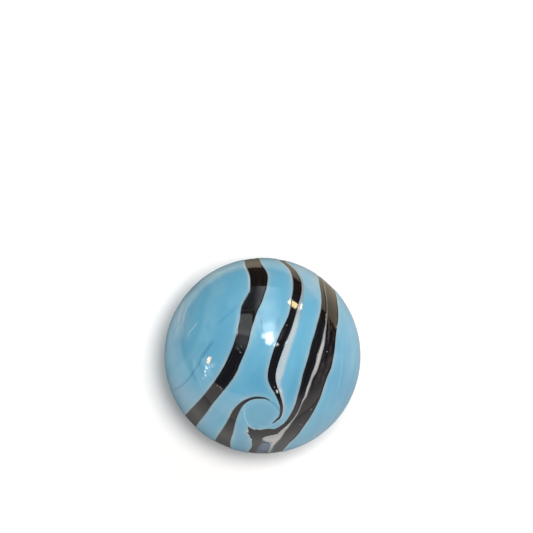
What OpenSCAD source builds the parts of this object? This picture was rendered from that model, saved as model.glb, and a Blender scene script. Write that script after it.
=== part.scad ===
// Glass marble: one ball of pale blue glass with ribbons of black glass and
// pale films fused into its skin. The origin is the ball's centre, and +Z
// points at the side that is seen from above.
//
// The ribbons are fields in the skin of one solid. Each lies a hair below the
// blue glass, so its outline is a real, shallow step in the surface.

/* [Ball] */
// Diameter of the ball
ball_d = 16; // [12:0.5:25]

/* [Black ribbons] */
// Depth of the black glass below the blue
ribbon_sink = 0.03; // [0.01:0.005:0.1]
// Width of the left ribbon
left_ribbon_w = 1.25; // [0.6:0.05:1.8]
// Width of the hooked ribbon in its long middle stretch
hooked_ribbon_w = 0.75; // [0.4:0.05:1.1]
// Width of the inner right ribbon
inner_ribbon_w = 0.9; // [0.5:0.05:1.2]
// Width of the outer right ribbon
outer_ribbon_w = 1.4; // [0.7:0.05:1.8]
// Width of the jagged tip where the inner ribbon folds back
tip_w = 0.5; // [0.3:0.05:0.7]

/* [Pale films] */
// Depth of the pale films below the blue glass
film_sink = 0.015; // [0.005:0.005:0.05]
// Widest part of the film along the hooked ribbon
side_film_w = 0.75; // [0.3:0.05:1]
// Width of the seam film between the inner and outer ribbons
seam_film_w = 0.4; // [0.2:0.05:0.6]

/* [Hidden] */
$fn = 128;

ball_r = ball_d / 2;

// How far a field's cutter reaches above the skin and below it
cut_above = 0.6;
cut_below = 1;
// Spans that the curve between two stations is divided into
spans = 2;
// Share of its full width at which the side film starts and ends
film_start = 0.05;

// Where the ball's own start meridian lies, clear of the ribbons' open ends
start_meridian = 172;

blue_glass = [0.46, 0.71, 0.83];
black_glass = [0.08, 0.08, 0.09];
pale_glass = [0.76, 0.80, 0.81];

// A route is a list of stations along the middle of a ribbon. A station is
// [x, y, width]: x and y in hundredths of the ball's radius as seen from
// above, and the width in hundredths of that ribbon's own width. The lists
// named above lie on the top half, and those named below on the underside,
// as seen through the ball. A fourth number is the width of the film beside
// the ribbon, in hundredths of that film's width.

left_above = [
    [-12, 99, 92], [-9, 92.5, 102], [-4, 82.5, 115], [-4, 72, 107],
    [-5.5, 65, 100], [-9, 57, 110], [-13, 49, 110], [-15.5, 38.5, 96],
    [-18, 28.5, 87], [-21, 16, 90], [-24.5, 6, 89], [-29, -4.5, 88],
    [-33.5, -14.5, 92], [-40, -24.5, 88], [-48, -35, 80], [-56, -45, 80],
    [-64, -55, 90], [-73.5, -68, 101]
];
left_below = [
    [-64, -66, 105], [-50, -54, 108], [-40, -36, 105], [-34, -14, 100],
    [-32, 10, 95], [-32, 36, 95], [-28, 60, 95], [-20, 82, 92]
];

hooked_tail_above = [
    [7, -44.5, 5], [2.5, -42.5, 13], [-2.5, -42, 20], [-7.5, -42, 23],
    [-13, -43.5, 25], [-18, -46, 33], [-22.5, -50, 45], [-26.5, -55.5, 64],
    [-29, -60.5, 72], [-31, -65.5, 80], [-35, -75.5, 116],
    [-39, -84, 143], [-41, -91, 190]
];
hooked_below = [
    [-36, -78, 185], [-22, -56, 165], [-7, -30, 145], [6, -4, 125],
    [11, 24, 105], [11, 52, 85, 6], [13, 76, 70, 15]
];
hooked_above = [
    [19, 98, 56, 21], [24.5, 93.5, 58, 21], [31, 87, 72, 21],
    [35, 77.5, 99, 24], [35.5, 67, 100, 29], [33.5, 57, 91, 41],
    [31.5, 46.5, 76, 62], [28.5, 36.5, 80, 70], [24.5, 26.5, 98, 74],
    [20, 16, 100, 83], [16, 6, 96, 95], [12.5, -4.5, 91, 98],
    [10, -14.5, 87, 102], [9.5, -22.5, 84, 87], [11.5, -30, 67, 65],
    [14, -35, 55, 48], [16.5, -41, 44, 33], [18.5, -47, 37, 22],
    [19.5, -53, 33, 13], [18, -61, 27, 9], [14, -65, 20, 0], [10.5, -68, 7, 0]
];

inner_above = [
    [58, 81.5, 69], [61, 72, 67], [62.5, 62, 64], [63, 52, 69],
    [62, 41.5, 78], [60, 31.5, 91], [57.5, 21, 98], [54.5, 11, 102],
    [52, 1, 99], [49, -9.5, 100], [45.5, -19.5, 93], [42.5, -30, 79],
    [39.5, -40, 73], [36, -50, 60], [32, -58.5, 60], [27, -65.5, 49],
    [22, -71, 56], [13.5, -76.5, 76], [5.5, -77.5, 100], [-1, -79, 100],
    [-4.5, -82.5, 95], [-5.5, -87, 95], [-5.5, -92.5, 92], [-8, -99.6, 125]
];
inner_below = [
    [-3, -84, 125], [8, -60, 105], [16, -36, 90], [22, -12, 80],
    [27, 12, 75], [33, 36, 75], [41, 58, 72], [50, 74, 70]
];
// The jagged tip and the spur below it, where the ribbon folds back
tip_above = [[0, -77.5, 110], [-8.5, -77.5, 170], [-11.5, -75.5, 95], [-14.5, -72, 16]];
spur_above = [[-4, -83.5, 130], [-8, -82.5, 150], [-11.5, -80, 75], [-15.5, -77.5, 8]];
// The thin place where the ribbon runs out over the blue beside its foot
foot_above = [[1, -86.5, 150], [1.5, -91, 180], [1, -95, 180], [0, -99.9, 170]];
foot_below = [[0, -92, 110], [1, -84, 20]];

outer_above = [
    [67, 74, 99], [69.5, 62, 106], [70.5, 52, 107], [71, 41.5, 98],
    [70, 31.5, 91], [69, 21, 87], [68, 11, 89], [66, 1, 96],
    [63.5, -9.5, 99], [59.5, -19.5, 95], [55.5, -30, 101], [52, -40, 104],
    [47, -50, 111], [41.5, -60.5, 107], [35, -70.5, 102], [27, -81, 107],
    [18.5, -91, 88], [12.5, -99, 81]
];
outer_below = [
    [19, -82, 82], [32, -58, 88], [42, -34, 95], [48, -10, 100],
    [53, 14, 100], [58, 38, 98], [63, 57, 98]
];

seam_start_below = [[58, 66, 8]];
seam_above = [
    [60.5, 79.5, 40], [63.5, 69, 38], [65, 59, 30], [65.5, 51, 20],
    [65.5, 43.5, 22], [65, 36.5, 26], [63.5, 26.5, 47], [62.5, 19, 68],
    [61.5, 13, 85], [59.5, 6, 95], [57.5, -1, 100], [54.5, -11.5, 98],
    [52.5, -16.5, 95], [50.5, -20.5, 72], [49, -24.5, 60], [47.5, -29, 68],
    [46, -33, 70], [43.5, -41, 58], [41, -45, 43], [39, -50, 30],
    [34.5, -59.5, 35], [29.5, -66.5, 43], [25, -72, 75], [21, -76, 105],
    [17, -81, 150], [13, -86.5, 125], [9, -93, 75], [5, -99.9, 55]
];
seam_end_below = [[4, -86, 10]];
// The film's pointed arm between the two ribbons
arm_above = [[-1, -83.5, 5], [2.5, -84, 140], [6.5, -84.5, 260],
    [12, -83.5, 290], [16.5, -80.5, 170]];

// Unit vector
function unit(v) = v / norm(v);

// A station as [direction, widths]: side is 1 on the top half, -1 below
function station(s, side) =
    let (x = s[0] / 100, y = s[1] / 100, z = side * sqrt(max(0, 1 - x * x - y * y)))
    concat(unit([x, y, z]), [s[2] / 100, len(s) > 3 ? s[3] / 100 : 0]);
function stations(list, side) = [for (s = list) station(s, side)];

// Point at t from b to c on the smooth curve through a, b, c and d
function curve(a, b, c, d, t) =
    (2 * b + (c - a) * t + (2 * a - 5 * b + 4 * c - d) * t * t
        + (3 * b - 3 * c + d - a) * t * t * t) / 2;

// Evenly stepped samples along a route, closed into a ring or open
function ring_samples(route) =
    let (n = len(route))
    [for (i = [0:n - 1], k = [0:spans - 1])
        curve(route[(i + n - 1) % n], route[i], route[(i + 1) % n], route[(i + 2) % n], k / spans)];
function strip_samples(route) =
    let (n = len(route))
    concat([for (i = [0:n - 2], k = [0:spans - 1])
        curve(route[max(i - 1, 0)], route[i], route[i + 1], route[min(i + 2, n - 1)], k / spans)],
        [route[n - 1]]);

function heading(s) = unit([s[0], s[1], s[2]]);

// Direction reached from sample i by going off sideways over the ball, to
// the right of the way the route runs
function beside(samples, i, off, closed) =
    let (
        n = len(samples),
        before = closed ? (i + n - 1) % n : max(i - 1, 0),
        after = closed ? (i + 1) % n : min(i + 1, n - 1),
        p = heading(samples[i]),
        right = unit(cross(p, heading(samples[after]) - heading(samples[before]))),
        angle = off / ball_r * 180 / PI
    )
    p * cos(angle) + right * sin(angle);

// Cutter that stands on the ball's centre lines between two offsets, lists of
// the distances from the route at each sample
module cutter(samples, from, to, closed) {
    n = len(samples);
    low = ball_r - cut_below;
    high = ball_r + cut_above;
    points = [for (i = [0:n - 1])
        let (a = beside(samples, i, from[i], closed), b = beside(samples, i, to[i], closed))
        each [a * low, b * low, b * high, a * high]];
    walls = [for (i = [0:n - (closed ? 1 : 2)], k = [0:3])
        let (a = 4 * i, b = 4 * ((i + 1) % n), m = (k + 1) % 4)
        each [[a + k, b + k, b + m], [a + k, b + m, a + m]]];
    ends = closed ? [] : [[0, 1, 2, 3], [for (k = [4:-1:1]) 4 * n - 5 + k]];
    polyhedron(points = points, faces = concat(walls, ends));
}

module ribbon(samples, w, closed) {
    cutter(samples, [for (s = samples) -s[3] * w / 2], [for (s = samples) s[3] * w / 2], closed);
}

module round_ball(r) {
    rotate([0, 0, start_meridian]) sphere(r = r);
}

// Skin of the ball down to a field's floor, over the shape given
module field(sink) {
    difference() {
        children();
        round_ball(ball_r - sink);
    }
}

hooked_samples = strip_samples(concat(
    stations(hooked_tail_above, 1), stations(hooked_below, -1), stations(hooked_above, 1)));

// The stretch of it that has a film beside it
film_samples = [for (s = hooked_samples) if (s[4] > film_start) s];

module seam_cutter() {
    ribbon(strip_samples(concat(
        stations(seam_start_below, -1), stations(seam_above, 1), stations(seam_end_below, -1))),
        seam_film_w, false);
    ribbon(strip_samples(stations(arm_above, 1)), seam_film_w, false);
}

module left_ribbon() {
    color(black_glass) field(ribbon_sink)
        ribbon(ring_samples(concat(stations(left_above, 1), stations(left_below, -1))),
            left_ribbon_w, true);
}

module hooked_ribbon() {
    color(black_glass) field(ribbon_sink)
        ribbon(hooked_samples, hooked_ribbon_w, false);
}

module inner_ribbon() {
    color(black_glass) field(ribbon_sink) difference() {
        union() {
            ribbon(ring_samples(concat(stations(inner_above, 1), stations(inner_below, -1))),
                inner_ribbon_w, true);
            ribbon(strip_samples(stations(tip_above, 1)), tip_w, false);
            ribbon(strip_samples(stations(spur_above, 1)), tip_w, false);
            ribbon(strip_samples(concat(stations(foot_above, 1), stations(foot_below, -1))),
                tip_w, false);
        }
        seam_cutter();
    }
}

module outer_ribbon() {
    color(black_glass) field(ribbon_sink) difference() {
        ribbon(ring_samples(concat(stations(outer_above, 1), stations(outer_below, -1))),
            outer_ribbon_w, true);
        seam_cutter();
    }
}

module side_film() {
    color(pale_glass) field(film_sink)
        cutter(film_samples, [for (s = film_samples) 0],
            [for (s = film_samples) s[3] * hooked_ribbon_w / 2 + s[4] * side_film_w], false);
}

module seam_film() {
    color(pale_glass) field(film_sink) seam_cutter();
}

module ball() {
    color(blue_glass) round_ball(ball_r);
}

module ball_with_left_ribbon() {
    difference() {
        ball();
        left_ribbon();
    }
}

module ball_with_left_and_hooked() {
    difference() {
        ball_with_left_ribbon();
        hooked_ribbon();
        side_film();
    }
}

module marble() {
    difference() {
        ball_with_left_and_hooked();
        inner_ribbon();
        outer_ribbon();
        seam_film();
    }
}

marble();
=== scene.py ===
"""Glass marble: a ball of pale blue glass with black ribbons and pale films
fused into its skin. One piece stands for the CAD node: the same ball, with
smooth outlines cut into its mesh and a material for each of its glasses.

The routes of the ribbons are the ones in the part's source: stations along
the middle of each ribbon. A station is x and y in hundredths of the ball's
radius, and width in hundredths of the ribbon's own. On the hooked ribbon a
fourth value is the width of its film, in hundredths of SIDE_FILM_W.
"""

import math

import bpy
import numpy as np
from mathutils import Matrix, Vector


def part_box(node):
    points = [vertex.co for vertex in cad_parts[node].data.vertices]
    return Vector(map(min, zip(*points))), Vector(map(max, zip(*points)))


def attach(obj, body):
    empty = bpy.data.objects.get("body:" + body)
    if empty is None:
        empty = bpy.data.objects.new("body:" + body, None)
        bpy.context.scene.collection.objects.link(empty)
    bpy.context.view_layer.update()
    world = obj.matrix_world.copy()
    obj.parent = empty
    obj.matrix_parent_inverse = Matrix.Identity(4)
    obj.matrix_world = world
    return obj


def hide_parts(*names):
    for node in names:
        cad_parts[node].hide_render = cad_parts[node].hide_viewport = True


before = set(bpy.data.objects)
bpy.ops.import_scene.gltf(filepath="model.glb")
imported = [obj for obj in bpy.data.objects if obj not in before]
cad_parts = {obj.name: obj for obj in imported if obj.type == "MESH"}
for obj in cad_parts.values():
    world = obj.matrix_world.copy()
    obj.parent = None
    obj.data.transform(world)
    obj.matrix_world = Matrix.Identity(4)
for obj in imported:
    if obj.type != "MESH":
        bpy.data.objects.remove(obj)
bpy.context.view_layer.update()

MM = 0.001
LOW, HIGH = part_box("marble")
BALL_R = (HIGH[2] - LOW[2]) / 2 / MM

# Where the ball lies in the photo: its middle and radius in pixels
PHOTO_SIZE = 533
PHOTO_X = 262.5
PHOTO_Y = 355.8
PHOTO_R = 98.0
PX_PER_MM = PHOTO_R / BALL_R

# Sizes of the glass fields, in mm, as in the part's source
RIBBON_SINK = 0.03
FILM_SINK = 0.015
LEFT_W = 1.25
HOOKED_W = 0.75
INNER_W = 0.9
OUTER_W = 1.4
TIP_W = 0.5
SIDE_FILM_W = 0.75
SEAM_FILM_W = 0.4
FILM_START = 0.05
# Width over which the skin dips at the edge of a field, in mm. A film's edge
# dips more gently, over FILM_DIP_W from FILM_DIP_FROM away from black glass on.
DIP_W = 0.045
FILM_DIP_W = 0.25
FILM_DIP_FROM = 0.4

LEFT_ABOVE = [
    (-12, 99, 92), (-9, 92.5, 102), (-4, 82.5, 115), (-4, 72, 107), (-5.5, 65, 100),
    (-9, 57, 110), (-13, 49, 110), (-15.5, 38.5, 96), (-18, 28.5, 87), (-21, 16, 90),
    (-24.5, 6, 89), (-29, -4.5, 88), (-33.5, -14.5, 92), (-40, -24.5, 88),
    (-48, -35, 80), (-56, -45, 80), (-64, -55, 90), (-73.5, -68, 101),
]
LEFT_BELOW = [
    (-64, -66, 105), (-50, -54, 108), (-40, -36, 105), (-34, -14, 100),
    (-32, 10, 95), (-32, 36, 95), (-28, 60, 95), (-20, 82, 92),
]
HOOKED_TAIL_ABOVE = [
    (7, -44.5, 5), (2.5, -42.5, 13), (-2.5, -42, 20), (-7.5, -42, 23), (-13, -43.5, 25),
    (-18, -46, 33), (-22.5, -50, 45), (-26.5, -55.5, 64), (-29, -60.5, 72),
    (-31, -65.5, 80), (-35, -75.5, 116), (-39, -84, 143), (-41, -91, 190),
]
HOOKED_BELOW = [
    (-36, -78, 185), (-22, -56, 165), (-7, -30, 145), (6, -4, 125), (11, 24, 105),
    (11, 52, 85, 6), (13, 76, 70, 15),
]
HOOKED_ABOVE = [
    (19, 98, 56, 21), (24.5, 93.5, 58, 21), (31, 87, 72, 21), (35, 77.5, 99, 24),
    (35.5, 67, 100, 29), (33.5, 57, 91, 41), (31.5, 46.5, 76, 62), (28.5, 36.5, 80, 70),
    (24.5, 26.5, 98, 74), (20, 16, 100, 83), (16, 6, 96, 95), (12.5, -4.5, 91, 98),
    (10, -14.5, 87, 102), (9.5, -22.5, 84, 87), (11.5, -30, 67, 65), (14, -35, 55, 48),
    (16.5, -41, 44, 33), (18.5, -47, 37, 22), (19.5, -53, 33, 13), (18, -61, 27, 9),
    (14, -65, 20, 0), (10.5, -68, 7, 0),
]
INNER_ABOVE = [
    (58, 81.5, 69), (61, 72, 67), (62.5, 62, 64), (63, 52, 69), (62, 41.5, 78),
    (60, 31.5, 91), (57.5, 21, 98), (54.5, 11, 102), (52, 1, 99), (49, -9.5, 100),
    (45.5, -19.5, 93), (42.5, -30, 79), (39.5, -40, 73), (36, -50, 60), (32, -58.5, 60),
    (27, -65.5, 49), (22, -71, 56), (13.5, -76.5, 76), (5.5, -77.5, 100), (-1, -79, 100),
    (-4.5, -82.5, 95), (-5.5, -87, 95), (-5.5, -92.5, 92), (-8, -99.6, 125),
]
INNER_BELOW = [
    (-3, -84, 125), (8, -60, 105), (16, -36, 90), (22, -12, 80), (27, 12, 75),
    (33, 36, 75), (41, 58, 72), (50, 74, 70),
]
TIP_ABOVE = [(0, -77.5, 110), (-8.5, -77.5, 170), (-11.5, -75.5, 95), (-14.5, -72, 16)]
SPUR_ABOVE = [(-4, -83.5, 130), (-8, -82.5, 150), (-11.5, -80, 75), (-15.5, -77.5, 8)]
FOOT_ABOVE = [(1, -86.5, 150), (1.5, -91, 180), (1, -95, 180), (0, -99.9, 170)]
FOOT_BELOW = [(0, -92, 110), (1, -84, 20)]
OUTER_ABOVE = [
    (67, 74, 99), (69.5, 62, 106), (70.5, 52, 107), (71, 41.5, 98), (70, 31.5, 91),
    (69, 21, 87), (68, 11, 89), (66, 1, 96), (63.5, -9.5, 99), (59.5, -19.5, 95),
    (55.5, -30, 101), (52, -40, 104), (47, -50, 111), (41.5, -60.5, 107),
    (35, -70.5, 102), (27, -81, 107), (18.5, -91, 88), (12.5, -99, 81),
]
OUTER_BELOW = [
    (19, -82, 82), (32, -58, 88), (42, -34, 95), (48, -10, 100), (53, 14, 100),
    (58, 38, 98), (63, 57, 98),
]
SEAM_START_BELOW = [(58, 66, 8)]
SEAM_ABOVE = [
    (60.5, 79.5, 40), (63.5, 69, 38), (65, 59, 30), (65.5, 51, 20), (65.5, 43.5, 22),
    (65, 36.5, 26), (63.5, 26.5, 47), (62.5, 19, 68), (61.5, 13, 85), (59.5, 6, 95),
    (57.5, -1, 100), (54.5, -11.5, 98), (52.5, -16.5, 95), (50.5, -20.5, 72),
    (49, -24.5, 60), (47.5, -29, 68), (46, -33, 70), (43.5, -41, 58), (41, -45, 43),
    (39, -50, 30), (34.5, -59.5, 35), (29.5, -66.5, 43), (25, -72, 75), (21, -76, 105),
    (17, -81, 150), (13, -86.5, 125), (9, -93, 75), (5, -99.9, 55),
]
SEAM_END_BELOW = [(4, -86, 10)]
ARM_ABOVE = [
    (-1, -83.5, 5), (2.5, -84, 140), (6.5, -84.5, 260), (12, -83.5, 290), (16.5, -80.5, 170),
]

# Spans between two stations: of a ribbon, and of a fine mark
SPANS = 8
MARK_SPANS = 40
# Steps of halving in the plain ball's mesh
BALL_STEPS = 7
# Distance in mm from a field's edge within which the mesh is finer
EDGE_MESH = 0.1
# Half widths in pixels below which a mark needs a finer mesh, and the finest,
# and how much wider than the mark that mesh is
MEDIUM_MARK = 1.45
FINE_MARK = 0.95
MARK_MESH = 1.1
# Distance in mm from a cut within which a point counts as lying on it
CLEAR = 0.004
# Points that are matched with a ribbon at a time
BATCH = 20000
# Share of the radius over which what is drawn on the top fades out below it
TOP_FADE = 0.3


def unit(v):
    """Rows of v at length one."""
    return v / np.linalg.norm(v, axis=-1, keepdims=True)


def stations(above=(), below=()):
    """Stations as rows of direction, width and film width; above lies on the top half."""
    rows = []
    for route, side in ((above, 1), (below, -1)):
        for s in route:
            x, y = s[0] / 100, s[1] / 100
            z = side * math.sqrt(max(0.0, 1 - x * x - y * y))
            d = unit(np.array((x, y, z)))
            rows.append((*d, s[2] / 100, s[3] / 100 if len(s) > 3 else 0.0))
    return np.array(rows)


def smooth(route, closed, spans=SPANS):
    """Evenly stepped samples on the smooth curve through the stations."""
    n = len(route)
    out = []
    for i in range(n if closed else n - 1):
        if closed:
            a, b, c, d = (route[(i + k) % n] for k in (-1, 0, 1, 2))
        else:
            a, b, c, d = (route[min(max(i + k, 0), n - 1)] for k in (-1, 0, 1, 2))
        for k in range(spans):
            t = k / spans
            out.append((2 * b + (c - a) * t + (2 * a - 5 * b + 4 * c - d) * t ** 2
                        + (3 * b - 3 * c + d - a) * t ** 3) / 2)
    if not closed:
        out.append(route[-1])
    return np.array(out)


class Ribbon:
    """A strip along a route over the ball, between two offsets from its middle."""

    def __init__(self, route, width, closed=False, film=0.0):
        samples = smooth(route, closed)
        if film:
            samples = samples[samples[:, 4] > FILM_START]
        self.closed = closed
        self.middle = unit(samples[:, :3])
        half = samples[:, 3] * width / 2
        self.left = np.zeros_like(half) if film else half
        self.right = half + samples[:, 4] * film
        ahead = np.roll(self.middle, -1, 0) - np.roll(self.middle, 1, 0)
        if not closed:
            ahead[0] = self.middle[1] - self.middle[0]
            ahead[-1] = self.middle[-1] - self.middle[-2]
        self.ahead = unit(ahead)
        self.beside = unit(np.cross(self.middle, self.ahead))

    def place(self, points):
        """Nearest sample of each point, and how far on and how far to the right it lies, mm."""
        near = np.empty(len(points), int)
        for start in range(0, len(points), BATCH):
            batch = slice(start, start + BATCH)
            near[batch] = (points[batch] @ self.middle.T).argmax(1)
        off = points - self.middle[near]
        return (near, (off * self.ahead[near]).sum(1) * BALL_R,
                (off * self.beside[near]).sum(1) * BALL_R)

    def distance(self, points):
        """Distance from the ribbon's edge in mm, below zero inside it."""
        near, on, side = self.place(points)
        n = len(self.middle)
        step = np.where(on > 0, 1, -1)
        other = (near + step) % n if self.closed else np.clip(near + step, 0, n - 1)
        gap = np.linalg.norm(self.middle[other] - self.middle[near], axis=1) * BALL_R
        share = np.clip(np.abs(on) / np.maximum(gap, 1e-6), 0, 1)
        left = self.left[near] + (self.left[other] - self.left[near]) * share
        right = self.right[near] + (self.right[other] - self.right[near]) * share
        d = np.maximum(side - right, -side - left)
        if not self.closed:
            over = np.where(near == n - 1, on, np.where(near == 0, -on, -1.0))
            far = (near == 0) | (near == n - 1)
            d = np.where(far, np.maximum(d, over), d)
        return d


hooked_route = np.concatenate([stations(HOOKED_TAIL_ABOVE), stations(below=HOOKED_BELOW),
                               stations(HOOKED_ABOVE)])
seam_route = np.concatenate([stations(below=SEAM_START_BELOW), stations(SEAM_ABOVE),
                             stations(below=SEAM_END_BELOW)])
LEFT = Ribbon(stations(LEFT_ABOVE, LEFT_BELOW), LEFT_W, closed=True)
HOOKED = Ribbon(hooked_route, HOOKED_W)
INNER = Ribbon(stations(INNER_ABOVE, INNER_BELOW), INNER_W, closed=True)
OUTER = Ribbon(stations(OUTER_ABOVE, OUTER_BELOW), OUTER_W, closed=True)
TIP = Ribbon(stations(TIP_ABOVE), TIP_W)
SPUR = Ribbon(stations(SPUR_ABOVE), TIP_W)
FOOT = Ribbon(stations(FOOT_ABOVE, FOOT_BELOW), TIP_W)
SEAM = Ribbon(seam_route, SEAM_FILM_W)
ARM = Ribbon(stations(ARM_ABOVE), SEAM_FILM_W)
SIDE_FILM = Ribbon(hooked_route, HOOKED_W, film=SIDE_FILM_W)


def nearest_edge(points, *ribbons):
    """Distance from the edge of the nearest of these ribbons, mm."""
    return np.minimum.reduce([ribbon.distance(points) for ribbon in ribbons])


def field_distances(points):
    """Distances from the edges of the black glass, the pale films and both together, mm."""
    seam = nearest_edge(points, SEAM, ARM)
    right_pair = np.maximum(nearest_edge(points, INNER, OUTER, TIP, SPUR, FOOT), -seam)
    black = np.minimum(nearest_edge(points, LEFT, HOOKED), right_pair)
    pale = np.minimum(SIDE_FILM.distance(points), seam)
    return black, np.maximum(pale, -black), np.minimum(black, pale)


def split_edges(points, faces, marked, share):
    """Puts a point on each marked edge, at that share of its way, and splits the faces to fit.
    marked and share have a row for each face and a column for each of its edges."""
    n = len(points)
    nxt = np.roll(faces, -1, 1)
    lo, hi = np.minimum(faces, nxt), np.maximum(faces, nxt)
    key = lo[marked] * n + hi[marked]
    from_lo = np.where(faces < nxt, share, 1 - share)[marked]
    keys, first, back = np.unique(key, return_index=True, return_inverse=True)
    a, b = points[keys // n], points[keys % n]
    t = from_lo[first][:, None]
    fresh = unit(a * (1 - t) + b * t)
    mid = np.full(faces.shape, -1)
    mid[marked] = n + back.ravel()
    count = marked.sum(1)
    out = [faces[count == 0]]
    for k in range(3):
        i, j, l = k, (k + 1) % 3, (k + 2) % 3
        one = (count == 1) & marked[:, i]
        f, m = faces[one], mid[one]
        out += [np.stack([f[:, i], m[:, i], f[:, l]], 1), np.stack([m[:, i], f[:, j], f[:, l]], 1)]
        two = (count == 2) & ~marked[:, i]
        f, m = faces[two], mid[two]
        out += [np.stack([m[:, j], f[:, l], m[:, l]], 1), np.stack([f[:, i], f[:, j], m[:, j]], 1),
                np.stack([f[:, i], m[:, j], m[:, l]], 1)]
    f, m = faces[count == 3], mid[count == 3]
    out += [np.stack([m[:, 0], m[:, 1], m[:, 2]], 1)]
    out += [np.stack([f[:, k], m[:, k], m[:, (k + 2) % 3]], 1) for k in range(3)]
    return np.concatenate([points, fresh]), np.concatenate(out)


def refine(points, faces, near):
    """Halves the faces that have a corner near something fine."""
    marked = np.repeat(near[faces].any(1)[:, None], 3, 1)
    pairs = np.sort(np.stack([faces, np.roll(faces, -1, 1)], 2), 2)
    code = pairs[..., 0] * len(points) + pairs[..., 1]
    marked |= np.isin(code, code[marked])
    return split_edges(points, faces, marked, np.full(faces.shape, 0.5))


def cut(points, faces, which, level):
    """Cuts the faces along the line where a field's distance is level."""
    values = field_distances(points)[which] - level
    sign = np.where(np.abs(values) < CLEAR, 0, np.sign(values)).astype(int)
    after = np.roll(faces, -1, 1)
    marked = sign[faces] * sign[after] < 0
    share = values[faces] / np.where(marked, values[faces] - values[after], 1)
    return split_edges(points, faces, marked, np.where(marked, share, 0.5))


def vertex_normals(points, faces):
    """Direction that each point's faces look in, on average by their areas."""
    a, b, c = (points[faces[:, k]] for k in range(3))
    across = np.cross(b - a, c - a)
    total = np.zeros_like(points)
    for k in range(3):
        for axis in range(3):
            total[:, axis] += np.bincount(faces[:, k], across[:, axis], len(points))
    return unit(total)


def ease(t):
    """Smooth step from 0 at t = 0 to 1 at t = 1."""
    t = np.clip(t, 0, 1)
    return t * t * (3 - 2 * t)


def place(px, py):
    """Point in mm, seen from above, of a place in the photo."""
    return (px - PHOTO_X) / PX_PER_MM, (PHOTO_Y - py) / PX_PER_MM


def top_side(points):
    """1 on the side that the photo shows, fading to 0 a little way round to the other."""
    return ease(1 + points[:, 2] / TOP_FADE)


def soft_spot(points, px, py, across, up, turn=0.0):
    """1 at a place in the photo, fading to 0 at those distances from it, in pixels."""
    x, y = place(px, py)
    dx = (points[:, 0] * BALL_R - x) * PX_PER_MM
    dy = (points[:, 1] * BALL_R - y) * PX_PER_MM
    c, s = math.cos(math.radians(turn)), math.sin(math.radians(turn))
    r = np.hypot((dx * c + dy * s) / across, (dy * c - dx * s) / up)
    return ease(1 - r) * top_side(points)


# Paler and deeper places in the blue, partly the glass's own tone and partly painted light: the
# paler are in part painted reflection, the deeper in part painted shade. x, y, half width, half
# height in pixels of the photo, turn in degrees, and strength
HAZE_AND_REFLECTION = [
    (222, 270, 30, 9, 30, 0.35), (181, 318, 12, 30, 10, 0.5), (190, 400, 40, 24, -40, 0.45),
    (312, 285, 14, 24, -15, 0.5), (345, 330, 16, 50, 0, 0.05), (246, 440, 12, 22, 0, 0.4),
    (222, 408, 12, 30, -50, 0.3), (300, 268, 16, 10, -40, 0.5),
    (322, 428, 42, 16, -47, 0.12),
]
# Deeper places: partly the glass's own tone, partly painted shade, as at the lower and right limb
DEEP_AND_SHADE = [
    (193, 289, 14, 5, 42, 0.9), (178, 345, 14, 16, 0, 0.4), (235, 345, 30, 40, 0, 0.22),
    (262, 380, 24, 30, 0, 0.5), (295, 385, 10, 40, -15, 0.4), (348, 350, 6, 28, 0, 0.35),
    (272, 300, 9, 40, 0, 0.15), (215, 300, 30, 24, 30, 0.08), (325, 425, 30, 24, -45, 0.2),
    (342, 385, 26, 44, 0, 0.5), (262, 455, 60, 16, 0, 0.35), (242, 442, 14, 18, 0, 0.5),
]
# The round place that the two ends of the hooked ribbon curl about, and how
# much faster than a plain soft spot it fills
DISC = (261.5, 413, 18, 15)
DISC_FILL = 4
# The smoky place at the foot. It begins below SMOKE_TOP and to the right of a
# line that slants down from there, and fades in over these distances in mm.
SMOKE = (264, 450, 13, 13)
SMOKE_FILL = 2.2
SMOKE_TOP = (261, 440.5)
SMOKE_SLANT = 0.75
SMOKE_BESIDE = 0.45
SMOKE_BELOW = 0.3
# Distance in mm from the seam film at which its own tint ends
SEAM_FADE = 0.1
# Height in the photo above which the films are darker, and the fade in mm
DARKER_FROM = 330
DARKER_FADE = 2.4

# Fine marks, each as its places in the photo, its half width in pixels and
# its strength
# Dark lines: partly streaks in the glass, partly painted shade along the roll marks and beside the
# brightest highlight
DARK_STREAKS_AND_SHADE = [
    ([(173.5, 389.5), (181, 386), (190, 377), (200, 362), (205, 354)], 1.3, 0.5),
    ([(199, 362), (204, 354), (209, 347), (214, 339)], 2.2, 0.5),
    ([(216, 325), (227, 316), (239, 304)], 1.5, 0.28),
    ([(261, 319), (261.8, 326), (262.4, 332)], 1.1, 0.6),
    ([(182, 304), (178, 312), (175, 320)], 1.1, 0.45),
    ([(187, 302), (182.5, 314), (180.5, 325)], 1.0, 0.42),
    ([(179, 302), (175, 310), (173, 315)], 0.9, 0.38),
    ([(189.5, 305), (187, 314), (186, 320)], 0.8, 0.3),
    ([(193, 308), (190, 318)], 0.8, 0.3),
    ([(176, 326), (173, 336), (172, 343)], 1.6, 0.4),
    ([(185, 297), (190, 290), (197, 284)], 2.2, 0.5),
    ([(279, 317), (277.5, 325), (276, 333)], 2.4, 0.3),
    ([(267, 399.5), (272, 401.5), (277, 406), (280, 412)], 1.3, 0.55),
]
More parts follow.
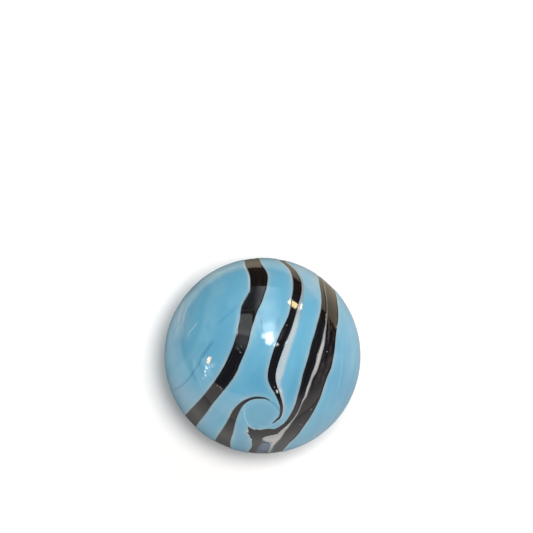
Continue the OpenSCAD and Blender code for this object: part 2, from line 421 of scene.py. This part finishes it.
# Pale lines: partly streaks in the glass, partly painted highlights along the roll marks and a
# scratch
PALE_STREAKS_AND_HIGHLIGHTS = [
    ([(188, 338), (190, 332), (194, 327), (199, 321)], 0.7, 0.7),
    ([(185, 300), (180.5, 313), (178, 322)], 0.9, 0.5),
    ([(180.5, 301), (177, 309), (175, 314)], 0.8, 0.42),
    ([(188.5, 304), (185, 313), (182.5, 326)], 0.7, 0.38),
    ([(177, 318), (175, 324), (174, 330)], 0.8, 0.32),
    ([(179, 326), (176.5, 334)], 0.6, 0.4),
    ([(184, 325), (183, 333)], 0.5, 0.35),
    ([(191, 300), (188.5, 307)], 0.5, 0.4),
    ([(199, 285), (208, 277.5), (218, 272.5)], 1.3, 0.35),
    ([(214, 276), (225, 270.5), (240, 266)], 1.0, 0.5),
    ([(243, 263.5), (247.3, 271), (249.2, 280), (249, 290)], 1.3, 0.35),
    ([(341.5, 350), (341, 370), (336, 392)], 1.6, 0.12),
    ([(346.5, 336), (347, 352), (345, 368)], 1.6, 0.1),
    ([(245.5, 404), (244.3, 412), (245.5, 418), (248, 423), (251, 426)], 0.8, 0.38),
    ([(258, 425.5), (266, 426), (274, 424)], 1.2, 0.2),
    ([(250, 427), (247, 431), (250, 436), (252, 443)], 1.0, 0.35),
]
# Roll marks that are pressed into the skin
WRINKLES = [
    ([(180.5, 301), (177, 309), (175, 314)], 1.4, 0.8),
    ([(185, 300), (180.5, 313), (178, 322)], 1.6, 1.0),
    ([(188.5, 304), (185, 313), (182.5, 326)], 1.3, 0.7),
    ([(193, 306), (190, 317), (189, 324)], 1.5, 0.5),
    ([(188, 339), (190, 332), (194, 327), (199, 321)], 1.0, 0.4),
]
# Depths of the crack and of those marks, in mm
CRACK_DEPTH = 0.004
WRINKLE_DEPTH = 0.01
# Specks and pits in the black glass, pale partly from the specks' own colour and partly as painted
# glints where the pits catch light
SPECKS_AND_GLINTS = [
    ([(326.5, 351), (327.6, 351.4)], 0.6, 0.6),
    ([(310.6, 409), (311.6, 409)], 0.7, 0.7),
    ([(300, 424), (300.8, 424.3)], 0.6, 0.6),
    ([(316, 398), (316.6, 398)], 0.5, 0.4),
    ([(217, 384), (218, 386)], 0.5, 0.5),
    ([(219.5, 387), (221, 386)], 0.5, 0.6),
    ([(221, 388.5), (222, 388)], 0.5, 0.5),
    ([(236.6, 346), (238, 348.5), (240, 349)], 0.9, 0.14),
    ([(239.5, 351), (241.5, 352.5)], 0.7, 0.3),
    ([(241, 344.5), (242, 347)], 0.8, 0.12),
    ([(276.3, 389.5), (277.5, 392.5)], 0.8, 0.9),
    ([(274, 386), (275, 387)], 0.5, 0.6),
    ([(286, 324.5), (287.5, 325)], 0.5, 0.5),
]
# Browner glass in the outer ribbon, as streaks along it
BROWN_STREAKS = [
    ([(327.5, 314), (329, 326), (327.6, 345)], 1.0, 0.9),
    ([(334.8, 314), (336.8, 330), (335.4, 346)], 1.2, 0.8),
    ([(330.5, 315), (331.8, 324), (330.8, 330)], 0.7, 0.6),
    ([(334, 326), (334.2, 336), (332, 344)], 0.7, 0.4),
    ([(331, 344), (330, 354), (326.5, 366)], 2.2, 0.4),
    ([(324, 360), (320, 372), (314, 386)], 3.2, 0.45),
    ([(332.5, 352), (328, 366), (321, 382)], 2.4, 0.5),
    ([(324.5, 350), (322.5, 360)], 1.2, 0.3),
]
# The crack across the left ribbon; its blacker colour is painted shade in the crack
CRACK_STROKES = [
    ([(236, 313), (242, 312.3), (248, 311.5), (255, 312)], 1.3, 1.0),
    ([(252.5, 309), (253.6, 313), (253.8, 318), (252.6, 325)], 1.1, 0.9),
]
# How strong and wide a stroke is at its ends, how fast it fills from there,
# how soft its sides are, and how far round it points are looked for
STROKE_END = 0.2
STROKE_FILL = 4
STROKE_SOFT = 1.3
STROKE_NEAR = 0.1


def drawn(points, strokes, spread=1.0):
    """How strongly each point is marked by the strokes."""
    total = np.zeros(len(points))
    for route, half, strength in strokes:
        flat = np.array([place(*p) for p in route]) / BALL_R
        height = np.sqrt(np.maximum(1 - (flat ** 2).sum(1), 0))
        line = unit(smooth(np.column_stack([flat, height]), False, MARK_SPANS))
        middle = unit(line.mean(0))
        close = np.flatnonzero(points @ middle > (line @ middle).min() - STROKE_NEAR)
        match = points[close] @ line.T
        d = np.sqrt(np.maximum(2 - 2 * match.max(1), 0)) * BALL_R * PX_PER_MM
        along = match.argmax(1) / (len(line) - 1)
        taper = np.clip(STROKE_FILL * np.minimum(along, 1 - along) + STROKE_END, 0, 1)
        reach = half * spread * (0.5 + 0.5 * taper)
        drawn_here = strength * taper * ease(STROKE_SOFT - d / reach)
        total[close] = np.maximum(total[close], drawn_here)
    return total


def ball_mesh():
    """Directions and faces of the ball, with the fields' edges cut into it."""
    bpy.ops.mesh.primitive_ico_sphere_add(subdivisions=BALL_STEPS, radius=1)
    seed = bpy.context.object
    count = len(seed.data.vertices)
    points = np.empty(count * 3)
    seed.data.vertices.foreach_get("co", points)
    faces = np.empty(len(seed.data.polygons) * 3, int)
    seed.data.polygons.foreach_get("vertices", faces)
    bpy.data.objects.remove(seed)
    points, faces = unit(points.reshape(-1, 3)), faces.reshape(-1, 3)
    black, film, _ = field_distances(points)
    from_edge = np.minimum(np.abs(black), np.abs(film))
    points, faces = refine(points, faces, from_edge < EDGE_MESH)
    marks = DARK_STREAKS_AND_SHADE + PALE_STREAKS_AND_HIGHLIGHTS + CRACK_STROKES + WRINKLES + SPECKS_AND_GLINTS
    for widest in (MEDIUM_MARK, FINE_MARK):
        strokes = [stroke for stroke in marks if stroke[1] < widest]
        points, faces = refine(points, faces, drawn(points, strokes, MARK_MESH) > 0)
    for which in (0, 1):
        for level in (0.0, -DIP_W):
            points, faces = cut(points, faces, which, level)
    return points, faces


points, faces = ball_mesh()
black, film, skin = field_distances(points)
dip = DIP_W + (FILM_DIP_W - DIP_W) * ease(black / FILM_DIP_FROM)
sink = FILM_SINK * ease(-skin / dip) + (RIBBON_SINK - FILM_SINK) * ease(-black / DIP_W)
sink += CRACK_DEPTH * drawn(points, CRACK_STROKES) + WRINKLE_DEPTH * drawn(points, WRINKLES)
solid = points * (BALL_R - sink)[:, None]
normals = unit(points + vertex_normals(solid, faces) - vertex_normals(points, faces))

mesh = bpy.data.meshes.new("marble_glass")
mesh.from_pydata((solid * MM).tolist(), [], faces.tolist())
mesh.update()
glass = bpy.data.objects.new("marble_glass", mesh)
bpy.context.collection.objects.link(glass)

# The order of the materials below: blue, black, film
in_black = (black[faces] < -CLEAR).any(1)
in_film = (film[faces] < -CLEAR).any(1)
glass_of_face = np.where(in_black, 1, np.where(in_film, 2, 0)).astype(np.int32)
mesh.polygons.foreach_set("material_index", glass_of_face)
mesh.polygons.foreach_set("use_smooth", np.ones(len(faces), bool))
mesh.normals_split_custom_set_from_vertices(normals.tolist())


def mark(name, values):
    """Keeps a value for each point of the mesh, for the materials to read."""
    attribute = mesh.attributes.new(name, "FLOAT", "POINT")
    attribute.data.foreach_set("value", values.astype(np.float32))


def layered(spots):
    """The strongest of the soft spots at each point."""
    total = np.zeros(len(points))
    for *spot, strength in spots:
        total = np.maximum(total, strength * soft_spot(points, *spot))
    return total


mark("black_edge", black)
mark("film_edge", film)
mark("haze_and_reflection", layered(HAZE_AND_REFLECTION))
mark("deep_and_shade", layered(DEEP_AND_SHADE))
mark("dark_streak_and_shade", drawn(points, DARK_STREAKS_AND_SHADE))
mark("pale_streak_and_highlight", drawn(points, PALE_STREAKS_AND_HIGHLIGHTS))
mark("crack", drawn(points, CRACK_STROKES))
mark("speck_and_glint", drawn(points, SPECKS_AND_GLINTS))
mark("brown", drawn(points, BROWN_STREAKS))
mark("disc", np.clip(DISC_FILL * soft_spot(points, *DISC), 0, 1))
below_tip = place(0, SMOKE_TOP[1])[1] - points[:, 1] * BALL_R
beside_tail = points[:, 0] * BALL_R - place(SMOKE_TOP[0], 0)[0] + SMOKE_SLANT * below_tip
mark("smoke", np.clip(SMOKE_FILL * soft_spot(points, *SMOKE), 0, 1)
     * ease(beside_tail / SMOKE_BESIDE) * ease(below_tip / SMOKE_BELOW))
mark("seam", ease(1.5 - nearest_edge(points, SEAM, ARM) / SEAM_FADE))
above_darker = points[:, 1] * BALL_R - place(0, DARKER_FROM)[1]
mark("upper", ease(above_darker / DARKER_FADE) * top_side(points))


def tree_of(thing):
    """Empty node tree of a material or world."""
    thing.use_nodes = True
    thing.node_tree.nodes.clear()
    return thing.node_tree


class Nodes:
    """Short ways of putting nodes in one tree."""

    def __init__(self, tree):
        self.tree = tree

    def add(self, kind, inputs=None, **settings):
        node = self.tree.nodes.new(kind)
        for key, value in settings.items():
            setattr(node, key, value)
        for key, value in (inputs or {}).items():
            self.put(value, node.inputs[key])
        return node

    def put(self, value, socket):
        if isinstance(value, bpy.types.NodeSocket):
            self.tree.links.new(value, socket)
        else:
            socket.default_value = value

    def math(self, operation, a, b=0.0, c=0.0):
        return self.add("ShaderNodeMath", {0: a, 1: b, 2: c}, operation=operation).outputs[0]

    def times(self, a, b):
        return self.math("MULTIPLY", a, b)

    def vector(self, operation, inputs):
        return self.add("ShaderNodeVectorMath", inputs, operation=operation)

    def attribute(self, name):
        return self.add("ShaderNodeAttribute", attribute_name=name).outputs["Fac"]

    def ramp(self, value, low, high, to_low=0.0, to_high=1.0):
        """Smooth step of value between low and high."""
        node = self.add("ShaderNodeMapRange", {"Value": value, "From Min": low, "From Max": high,
                                               "To Min": to_low, "To Max": to_high},
                        interpolation_type="SMOOTHSTEP")
        return node.outputs["Result"]

    def mix(self, factor, a, b, blend="MIX"):
        node = self.add("ShaderNodeMix", data_type="RGBA", blend_type=blend)
        self.put(factor, node.inputs[0])
        self.put(a, node.inputs[6])
        self.put(b, node.inputs[7])
        return node.outputs[2]

    def coats(self, colour, coats):
        """Lays each coat, a mask and a colour, over the colour in turn."""
        for mask, coat in coats:
            colour = self.mix(mask, colour, coat)
        return colour

    def noise(self, vector, scale, detail):
        inputs = {"Vector": vector, "Scale": scale, "Detail": detail}
        return self.add("ShaderNodeTexNoise", inputs).outputs["Fac"]

    def streaks(self, edge, across, wander, along, scale, detail):
        """Noise in bands that keep their distance from a ribbon's edge."""
        way = self.add("ShaderNodeCombineXYZ", {0: self.times(edge, across),
                                                1: self.times(wander, along)})
        return self.noise(way.outputs[0], scale, detail)

    def turned(self, ahead, beside, turn):
        """How far a place lies along the first of two directions, turned by some degrees."""
        c, s = math.cos(math.radians(turn)), math.sin(math.radians(turn))
        return self.math("ADD", self.times(ahead, c), self.times(beside, s))


def srgb(r, g, b):
    """Linear colour of an 8-bit one."""
    shares = (c / 255 for c in (r, g, b))
    return (*(c / 12.92 if c <= 0.04 else ((c + 0.055) / 1.055) ** 2.4 for c in shares), 1.0)


PER_MM = 1000.0


def in_mm(n):
    """Place on the ball in mm."""
    coord = n.add("ShaderNodeTexCoord").outputs["Object"]
    return n.vector("SCALE", {0: coord, "Scale": PER_MM}).outputs[0]


# Heights, up and down from the middle in mm, where the ball's rolled side
# begins and where it is full, and the size of the patches in it
SIDE_FROM = 5.9
SIDE_TO = 3.2
PATCH_SCALE = 0.35
# Height of the grain in m, and how much of it shows
GRAIN_HEIGHT = 0.00002
GRAIN_SHARE = 0.3


def skin_group():
    """What the skin of all the glasses shares: its grain, and sides dulled by rolling."""
    group = bpy.data.node_groups.new("GLASS SKIN", "ShaderNodeTree")
    for way, name, kind in (("INPUT", "Place", "Vector"), ("INPUT", "Grain Size", "Float"),
                            ("INPUT", "Polish", "Float"), ("INPUT", "Wear", "Float"),
                            ("OUTPUT", "Roughness", "Float"), ("OUTPUT", "Normal", "Vector")):
        group.interface.new_socket(name, in_out=way, socket_type="NodeSocket" + kind)
    n = Nodes(group)
    given = n.add("NodeGroupInput").outputs
    at = given["Place"]
    height = n.add("ShaderNodeSeparateXYZ", {0: at}).outputs[2]
    side = n.ramp(n.math("ABSOLUTE", height), SIDE_FROM, SIDE_TO)
    patches = n.ramp(n.noise(at, PATCH_SCALE, 3), 0.3, 0.7, 0.5, 1.0)
    dull = n.times(n.times(side, patches), given["Wear"])
    fine = n.noise(at, given["Grain Size"], 4)
    bump = n.add("ShaderNodeBump", {"Strength": GRAIN_SHARE, "Distance": GRAIN_HEIGHT,
                                    "Height": fine}).outputs[0]
    n.add("NodeGroupOutput", {"Roughness": n.math("ADD", given["Polish"], dull), "Normal": bump})
    return group


SKIN = skin_group()
GLASS_IOR = 1.5

# Colours of the blue glass and of what shows in it
BLUE = srgb(102, 171, 201)
BLUE_LIGHT = srgb(118, 180, 205)
BLUE_HAZE_AND_REFLECTION = srgb(152, 182, 200)
BLUE_DEEP_AND_SHADE = srgb(78, 146, 184)
BLUE_DISC = srgb(104, 160, 184)
BLUE_MILKY = srgb(140, 172, 184)
HALO_GREY = srgb(172, 186, 190)
EDGE_GREY = srgb(84, 100, 108)
SMOKE_GREY = srgb(92, 112, 132)
STROKE_DARK_AND_SHADE = srgb(62, 124, 166)
STROKE_PALE_AND_HIGHLIGHT = srgb(196, 218, 228)
# Colours of the black glass
BLACK = srgb(14, 13, 14)
BLACK_STREAK = srgb(34, 31, 30)
BLACK_EDGE = srgb(12, 12, 13)
BROWN = srgb(82, 73, 68)
CRACK_SHADE = srgb(2, 2, 2)
SPECK_AND_GLINT_GREY = srgb(176, 172, 160)
# Colours of the pale films
FILM = srgb(178, 193, 198)
FILM_LIGHT = srgb(187, 198, 202)
SEAM_FILM = srgb(168, 168, 165)
SEAM_LIGHT = srgb(186, 183, 181)
FILM_EDGE = srgb(140, 160, 178)
SEAM_EDGE = srgb(92, 86, 80)
FILM_TO_BLUE = srgb(116, 174, 204)
FILM_DARKER = srgb(70, 76, 78)

# Distances in mm from a black ribbon, out over the blue, at which the milky
# place, the halo and the dark line along the edge end
MILKY_END = 0.7
HALO_START = 0.04
HALO_END = 0.34
LINE_END = 0.07
# Depths in mm inside a ribbon or film at which its edge colour begins
BLACK_EDGE_W = 0.09
FILM_EDGE_W = 0.16
SEAM_EDGE_W = 0.1
FILM_TO_BLUE_W = 0.32
# Amounts of crack at which it is quite black with painted shade and quite without shine
CRACK_FULL = 0.5
CRACK_DULL = 0.2


def glass_finish(n, at, colour, grain, polish, wear, crack=None):
    """Skin and shader of one glass; a crack has no shine."""
    skin = n.add("ShaderNodeGroup", {"Place": at, "Grain Size": grain, "Polish": polish,
                                     "Wear": wear}, node_tree=SKIN)
    roughness = skin.outputs["Roughness"]
    if crack:
        roughness = n.math("MAXIMUM", roughness, crack)
    shader = n.add("ShaderNodeBsdfPrincipled", {
        "Base Color": colour, "Roughness": roughness, "IOR": GLASS_IOR,
        "Normal": skin.outputs["Normal"]})
    n.add("ShaderNodeOutputMaterial", {"Surface": shader.outputs[0]})


def blue_glass():
    """The ball's blue, in bands along the ribbons, with a grey halo beside them, and with painted
    reflection, shade and highlights in places.
    """
    material = bpy.data.materials.new("BLUE GLASS")
    n = Nodes(tree_of(material))
    at = in_mm(n)
    edge = n.attribute("black_edge")
    bands = n.streaks(edge, 0.6, n.noise(at, 0.3, 2), 2.5, 1.3, 2)
    halo = n.ramp(n.noise(at, 0.7, 2), 0.35, 0.65, 0.12, 0.55)
    colour = n.coats(n.mix(n.ramp(bands, 0.3, 0.75), BLUE, BLUE_LIGHT), (
        # Paler places: partly haze in the glass, partly painted reflection
        (n.attribute("haze_and_reflection"), BLUE_HAZE_AND_REFLECTION),
        # Deeper places: partly the glass's own tone, partly painted shade
        (n.attribute("deep_and_shade"), BLUE_DEEP_AND_SHADE),
        (n.times(n.attribute("disc"), 0.6), BLUE_DISC),
        (n.ramp(edge, 0.0, MILKY_END, 0.35, 0.0), BLUE_MILKY),
        (n.ramp(edge, HALO_START, HALO_END, halo, 0.0), HALO_GREY),
        (n.ramp(edge, 0.0, LINE_END, 0.8, 0.0), EDGE_GREY),
        (n.attribute("smoke"), SMOKE_GREY),
        # Dark lines: partly streaks in the glass, partly painted shade
        (n.attribute("dark_streak_and_shade"), STROKE_DARK_AND_SHADE),
        # Pale lines: partly streaks in the glass, partly painted highlights
        (n.attribute("pale_streak_and_highlight"), STROKE_PALE_AND_HIGHLIGHT),
    ))
    glass_finish(n, at, colour, grain=1.2, polish=0.055, wear=0.2)
    return material


def black_glass():
    """The ribbons' black, streaked, browner and smoky in places, with painted shade in the crack
    and pale specks, partly painted glints.
    """
    material = bpy.data.materials.new("BLACK GLASS")
    n = Nodes(tree_of(material))
    at = in_mm(n)
    edge = n.attribute("black_edge")
    crack = n.attribute("crack")
    streaks = n.streaks(edge, 2.4, n.noise(at, 0.25, 2), 2.0, 3.0, 3)
    mottle = n.ramp(n.noise(at, 1.5, 4), 0.35, 0.6, 0.4, 1.0)
    wisps = n.ramp(n.noise(at, 1.3, 4), 0.3, 0.6, 0.65, 1.0)
    colour = n.coats(n.mix(n.ramp(streaks, 0.45, 0.75), BLACK, BLACK_STREAK), (
        (n.ramp(edge, -BLACK_EDGE_W, -0.02), BLACK_EDGE),
        (n.times(n.attribute("brown"), mottle), BROWN),
        (n.times(n.attribute("smoke"), wisps), SMOKE_GREY),
        # Painted shade in the crack
        (n.ramp(crack, 0.0, CRACK_FULL), CRACK_SHADE),
        # Pale specks, partly painted glints
        (n.attribute("speck_and_glint"), SPECK_AND_GLINT_GREY),
    ))
    dull = n.ramp(crack, 0.0, CRACK_DULL)
    glass_finish(n, at, colour, grain=1.6, polish=0.045, wear=0.02, crack=dull)
    return material


def pale_film():
    """The cloudy films: bluish beside the hooked ribbon, greyer and dark-edged in the seam."""
    material = bpy.data.materials.new("PALE FILM")
    n = Nodes(tree_of(material))
    at = in_mm(n)
    edge = n.attribute("film_edge")
    seam = n.attribute("seam")
    cloud = n.ramp(n.noise(at, 0.9, 3), 0.35, 0.65)
    away = n.ramp(n.attribute("black_edge"), 0.1, 0.35)
    thin = n.times(n.ramp(edge, -FILM_TO_BLUE_W, 0.0, 0.0, 0.9), away)
    upper_darkening = n.math("MULTIPLY_ADD", seam, 0.35, 0.35)
    colour = n.coats(n.mix(cloud, FILM, FILM_LIGHT), (
        (seam, n.mix(cloud, SEAM_FILM, SEAM_LIGHT)),
        (n.ramp(edge, -FILM_EDGE_W, 0.0, 0.0, 0.45), FILM_EDGE),
        (n.times(n.ramp(edge, -SEAM_EDGE_W, -0.02, 0.0, 0.6), seam), SEAM_EDGE),
        (n.times(thin, n.math("SUBTRACT", 1.0, seam)), FILM_TO_BLUE),
        # The films darker towards the top
        (n.times(n.attribute("upper"), upper_darkening), FILM_DARKER),
    ))
    glass_finish(n, at, colour, grain=1.4, polish=0.06, wear=0.08)
    return material


for material in (blue_glass(), black_glass(), pale_film()):
    mesh.materials.append(material)
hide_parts("marble")
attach(glass, "root")

# The white sheet that the ball lies on. For what the ball mirrors, the sheet
# ends behind it, along a line through a point and at a turn in degrees, and
# at the right. Its sizes are in mm, but FLOOR_HALF in m.
FLOOR_HALF = 0.5
SHEET_EDGE = (-1.7, 20.3)
SHEET_TURN = 25.0
SHEET_RIGHT = 50.0
PAPER = (0.96, 0.94, 0.925, 1.0)
WARM_PAPER = (0.95, 0.82, 0.6, 1.0)
BEYOND_SHEET = (0.075, 0.05, 0.03, 1.0)
IN_SHADE = (0.0, 0.0, 0.0, 1.0)
# Distance from the ball's middle at which the mirrored shade begins
SHADE_START = 8.2
# The glow that keeps the paper white, and where it begins round the ball
PAPER_GLOW = 0.12
GLOW_START = 8.0
GLOW_FULL = 9.4

bpy.ops.mesh.primitive_plane_add(size=2 * FLOOR_HALF, location=(0, 0, LOW[2]))
floor = bpy.context.object
floor.name = "floor"


def floor_material():
    """White paper. Mirrored, it is warmer far back, and dark under the ball and beyond it."""
    material = bpy.data.materials.new("WHITE SHEET")
    n = Nodes(tree_of(material))
    at = n.add("ShaderNodeSeparateXYZ", {0: in_mm(n)})
    x, y = at.outputs[0], at.outputs[1]
    over = n.turned(n.math("SUBTRACT", y, SHEET_EDGE[1]), n.math("SUBTRACT", x, SHEET_EDGE[0]),
                    -SHEET_TURN)
    right = n.times(n.ramp(x, SHEET_RIGHT - 1, SHEET_RIGHT + 1), n.ramp(y, 0, 10))
    beyond = n.math("MAXIMUM", n.ramp(over, -0.3, 0.3), right)
    flat = n.add("ShaderNodeCombineXYZ", {0: x, 1: y}).outputs[0]
    out = n.vector("LENGTH", {0: flat}).outputs["Value"]
    shade_end = n.ramp(y, -6.0, 4.0, 27.0, 19.0)
    shade = n.ramp(out, SHADE_START, shade_end, n.ramp(x, 0.0, 6.0, 0.85, 0.5), 0.0)
    mirrored = n.coats(PAPER, ((n.ramp(y, 3, 11), WARM_PAPER), (shade, IN_SHADE),
                               (beyond, BEYOND_SHEET)))
    ray = n.add("ShaderNodeLightPath").outputs
    paper = n.add("ShaderNodeBsdfDiffuse", {"Color": n.mix(ray["Is Glossy Ray"], PAPER, mirrored)})
    lit_side = n.ramp(n.math("ADD", x, y), -3.0, 5.0)
    open_side = n.math("MAXIMUM", n.ramp(out, GLOW_START, GLOW_FULL), lit_side)
    strength = n.times(n.times(ray["Is Camera Ray"], open_side), PAPER_GLOW)
    glow = n.add("ShaderNodeEmission", {"Color": (1, 1, 1, 1), "Strength": strength})
    both = n.add("ShaderNodeAddShader", {0: paper.outputs[0], 1: glow.outputs[0]})
    n.add("ShaderNodeOutputMaterial", {"Surface": both.outputs[0]})
    return material


floor.data.materials.append(floor_material())

# What the ball mirrors. Each place is where it shows on the ball from straight
# above: x, y, half width, half height, softness in pixels, turn in degrees,
# brightness and colour.
SOFT_WHITE = (0.93, 0.98, 1.0)
WARM = (1.0, 0.76, 0.38)
PINK_WHITE = (1.0, 0.72, 0.62)
PEACH = (1.0, 0.42, 0.08)
MIRRORED = [
    (269.8, 337.6, 3.9, 5.2, 2.2, 12, 18.0, SOFT_WHITE),
    (265.0, 336.5, 3.6, 1.8, 2.0, -18, 13.0, SOFT_WHITE),
    (268.6, 342.4, 3.2, 2.2, 1.4, -30, 12.0, SOFT_WHITE),
    (269.5, 331, 7, 9, 8, 18, 5.5, SOFT_WHITE),
    (271, 318, 9, 17, 12, 8, 1.8, SOFT_WHITE),
    (267, 306, 9, 24, 14, -6, 1.8, SOFT_WHITE),
    (247, 324, 12, 11, 4, -12, 1.5, SOFT_WHITE),
    (247, 340, 10, 8, 12, -12, 0.9, SOFT_WHITE),
    (250, 292, 24, 15, 8, 0, 0.14, SOFT_WHITE),
    (293.1, 303.6, 4.9, 2.6, 0.9, -38, 22.0, WARM),
    (299.6, 308.8, 2.2, 2.2, 1.6, -38, 5.0, PINK_WHITE),
    (209.2, 360, 1.5, 3.4, 1.4, -12, 24.0, PEACH),
    (208.6, 358.5, 0.8, 1.2, 0.8, 15, 9.0, SOFT_WHITE),
    (207, 367, 4.0, 10, 4.0, 15, 1.6, SOFT_WHITE),
    (206.6, 367.4, 0.7, 1.6, 1.0, 22, 16.0, SOFT_WHITE),
    (205.3, 371.6, 0.6, 1.3, 1.0, 22, 14.0, SOFT_WHITE),
    (205.6, 375.2, 0.9, 0.7, 1.0, 22, 15.0, SOFT_WHITE),
    (203.4, 378.2, 0.5, 0.5, 1.0, 22, 8.0, SOFT_WHITE),
    (209.6, 366.6, 0.4, 1.5, 0.9, 22, 11.0, SOFT_WHITE),
    (212.2, 365.2, 0.4, 1.7, 0.9, 22, 10.0, SOFT_WHITE),
    (214.4, 363.8, 0.4, 1.2, 0.9, 22, 7.0, SOFT_WHITE),
    (208.2, 371.0, 0.3, 0.8, 0.9, 22, 6.0, SOFT_WHITE),
    (276, 344.5, 2.4, 1.5, 1.2, 25, 16.0, SOFT_WHITE),
    (277.3, 391, 0.9, 1.6, 0.8, 10, 9.0, SOFT_WHITE),
]
# The room behind those places: dark above, and from a slanting line down a
# bright wall, whose edge is sharp on the left (WALL_SHARP) and soft on the right
ROOM_DARK = (0.11, 0.13, 0.19, 1.0)
ROOM_SLOPE = 1.2
ROOM_BRIGHT = (1.2, 1.1, 1.08, 1.0)
WALL_SHARP = 0.05
WALL_SOFT = 0.6
# The plain light all round, and the white background
AMBIENT = (0.42, 0.42, 0.42, 1.0)
BACKGROUND = (1.0, 1.0, 1.0, 1.0)


def world_nodes():
    """The studio: white to the camera, plain light for the room, and what the ball mirrors."""
    world = bpy.data.worlds.new("studio")
    bpy.context.scene.world = world
    n = Nodes(tree_of(world))
    ray_way = n.add("ShaderNodeTexCoord").outputs["Generated"]
    half_way = n.vector("ADD", {0: ray_way, 1: (0, 0, 1)}).outputs[0]
    half_way = n.vector("NORMALIZE", {0: half_way}).outputs[0]
    on_ball = n.add("ShaderNodeSeparateXYZ", {0: half_way})
    px = n.math("MULTIPLY_ADD", on_ball.outputs[0], PHOTO_R, PHOTO_X)
    py = n.math("MULTIPLY_ADD", on_ball.outputs[1], -PHOTO_R, PHOTO_Y)
    way = n.add("ShaderNodeSeparateXYZ", {0: ray_way})
    wall = n.math("MULTIPLY_ADD", way.outputs[2], -ROOM_SLOPE, n.times(way.outputs[1], -1.0))
    wall_full = n.ramp(way.outputs[0], -0.1, 0.5, WALL_SHARP, WALL_SOFT)
    colour = n.mix(n.ramp(wall, -0.03, wall_full), ROOM_DARK, ROOM_BRIGHT)
    for x, y, w, h, soft, turn, level, tint in MIRRORED:
        dx, dy = n.math("SUBTRACT", px, x), n.math("SUBTRACT", y, py)
        u = n.math("ABSOLUTE", n.turned(dx, dy, turn))
        v = n.math("ABSOLUTE", n.turned(dy, dx, -turn))
        mask = n.times(n.ramp(u, w - soft / 2, w + soft / 2, 1, 0),
                       n.ramp(v, h - soft / 2, h + soft / 2, 1, 0))
        colour = n.mix(mask, colour, (*(level * t for t in tint), 1.0), "ADD")
    ray = n.add("ShaderNodeLightPath").outputs
    sky = n.mix(ray["Is Camera Ray"], AMBIENT, BACKGROUND)
    back = n.add("ShaderNodeBackground", {"Color": n.mix(ray["Is Glossy Ray"], sky, colour)})
    n.add("ShaderNodeOutputWorld", {"Surface": back.outputs[0]})


world_nodes()

LAMP_DISTANCE = 0.4
LAMP_COLOUR = (1.0, 0.99, 0.98)


def lamp(name, way, size, power):
    """A round lamp in that direction from the ball, which the ball doesn't mirror."""
    data = bpy.data.lights.new(name, "AREA")
    data.shape = "DISK"
    data.size = size
    data.energy = power
    data.color = LAMP_COLOUR
    obj = bpy.data.objects.new(name, data)
    bpy.context.collection.objects.link(obj)
    way = Vector(way).normalized()
    obj.location = way * LAMP_DISTANCE
    obj.rotation_euler = (-way).to_track_quat("-Z", "Y").to_euler()
    obj.visible_glossy = False
    obj.visible_camera = False


lamp("key_lamp", way=(0.105, 0.06, 0.993), size=0.095, power=0.98)
lamp("side_lamp", way=(0.62, 0.6, 0.5), size=0.3, power=0.32)

CAMERA_DISTANCE = 1.2
SENSOR = 36.0
camera_data = bpy.data.cameras.new("camera")
camera = bpy.data.objects.new("camera", camera_data)
bpy.context.collection.objects.link(camera)
frame_width = PHOTO_SIZE / PX_PER_MM * MM
camera_data.sensor_width = SENSOR
camera_data.lens = SENSOR * CAMERA_DISTANCE / frame_width
camera.location = ((PHOTO_SIZE / 2 - PHOTO_X) / PX_PER_MM * MM,
                   (PHOTO_Y - PHOTO_SIZE / 2) / PX_PER_MM * MM, CAMERA_DISTANCE)
bpy.context.scene.camera = camera
bpy.context.scene.view_settings.view_transform = "Standard"
